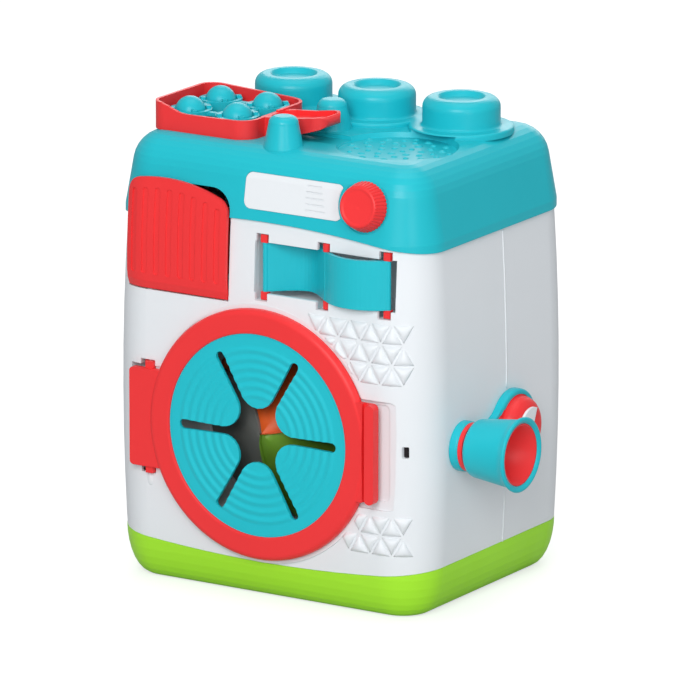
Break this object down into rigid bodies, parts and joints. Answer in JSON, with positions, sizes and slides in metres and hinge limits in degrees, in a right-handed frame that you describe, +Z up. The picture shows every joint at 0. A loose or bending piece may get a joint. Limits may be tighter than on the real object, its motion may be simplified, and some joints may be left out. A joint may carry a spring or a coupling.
{
  "type": "toy washing machine",
  "caption": "Stackable toy washing machine: slit-membrane door with spinner drum, tipping ball tray, turning wave, knob, soap flap and side funnel.",
  "frame": {"origin": "middle of the flat underside of the base, on the floor", "axes": "+X to the right seen from the front, +Y to the back (the front looks to -Y), +Z up"},
  "size_m": [0.2887, 0.2049, 0.32],
  "materials": {
    "white_shell": "satin",
    "red_plastic": "satin",
    "teal_plastic": "satin",
    "green_plastic": "satin",
    "orange_plastic": "satin",
    "grey_plastic": "satin",
    "inner_plastic": "satin",
    "steel": "bright",
    "soft_membrane": "soft matt"
  },
  "bodies": {
    "cabinet": {"base_tray": "green_plastic", "front_shell": "white_shell", "rear_shell": "white_shell", "top_cover": "teal_plastic", "control_panel": "white_shell", "knob_spring": "steel", "flap_pin": "steel", "wave_housing": "inner_plastic", "door_pin": "steel", "catch_spring": "grey_plastic", "tub": "inner_plastic", "tray_pin": "steel", "funnel_base": "teal_plastic", "funnel_cover": "red_plastic", "click_spring": "steel", "funnel_screw": "steel", "base_screws": "steel", "rear_screws": "steel", "cover_screws": "steel", "tub_screws": "steel"},
    "door": {"door_ring": "red_plastic", "door_membrane": "soft_membrane", "door_retainer": "red_plastic"},
    "knob": {"knob": "red_plastic", "knob_spindle": "inner_plastic"},
    "flap": {"detergent_flap": "red_plastic"},
    "wave": {"wave": "teal_plastic", "wave_pins": "red_plastic"},
    "drum": {"drum": "inner_plastic", "vane_orange": "orange_plastic", "vane_green": "green_plastic", "vane_grey": "grey_plastic", "drum_spindle": "steel", "drum_clip": "steel"},
    "tray": {"soap_tray": "red_plastic", "ball_cage": "teal_plastic"},
    "ball_a": {"ball_1": "teal_plastic"},
    "ball_b": {"ball_2": "teal_plastic"},
    "ball_c": {"ball_3": "teal_plastic"},
    "ball_d": {"ball_4": "teal_plastic"},
    "lever": {"click_lever": "white_shell"},
    "funnel": {"funnel": "teal_plastic", "funnel_liner": "red_plastic"}
  },
  "joints": [
    {"name": "door_hinge", "type": "hinge", "parent": "cabinet", "child": "door", "pos_m": [-0.086, -0.096, 0.112], "axis": [0, 0, -1], "range_deg": [0, 105]},
    {"name": "knob_turn", "type": "hinge", "parent": "cabinet", "child": "knob", "pos_m": [0.0756, -0.09234, 0.272], "axis": [0, -0.9851, 0.1719], "continuous": true},
    {"name": "flap_tilt", "type": "hinge", "parent": "cabinet", "child": "flap", "pos_m": [-0.06, -0.0949, 0.2], "axis": [1, 0, 0], "range_deg": [0, 38]},
    {"name": "wave_turn", "type": "hinge", "parent": "cabinet", "child": "wave", "pos_m": [0.047, -0.0926, 0.2227], "axis": [0, 0, 1], "continuous": true},
    {"name": "drum_spin", "type": "hinge", "parent": "cabinet", "child": "drum", "pos_m": [0, 0, 0.112], "axis": [0, 1, 0], "continuous": true},
    {"name": "tray_tip", "type": "hinge", "parent": "cabinet", "child": "tray", "pos_m": [-0.0022, -0.0335, 0.3065], "axis": [0, 1, 0], "range_deg": [0, 24]},
    {"name": "funnel_spin", "type": "hinge", "parent": "cabinet", "child": "funnel", "pos_m": [0.14, -0.047, 0.1105], "axis": [1, 0, 0], "continuous": true},
    {"name": "lever_click", "type": "hinge", "parent": "cabinet", "child": "lever", "pos_m": [0.13, 0.0125, 0.1105], "axis": [1, 0, 0], "range_deg": [-20, 20]},
    {"name": "ball_a_spin", "type": "hinge", "parent": "tray", "child": "ball_a", "pos_m": [-0.08395, -0.0517, 0.3075], "axis": [0, 0, 1], "continuous": true},
    {"name": "ball_b_spin", "type": "hinge", "parent": "tray", "child": "ball_b", "pos_m": [-0.04755, -0.0517, 0.3075], "axis": [0, 0, 1], "continuous": true},
    {"name": "ball_c_spin", "type": "hinge", "parent": "tray", "child": "ball_c", "pos_m": [-0.08395, -0.0153, 0.3075], "axis": [0, 0, 1], "continuous": true},
    {"name": "ball_d_spin", "type": "hinge", "parent": "tray", "child": "ball_d", "pos_m": [-0.04755, -0.0153, 0.3075], "axis": [0, 0, 1], "continuous": true}
  ]
}
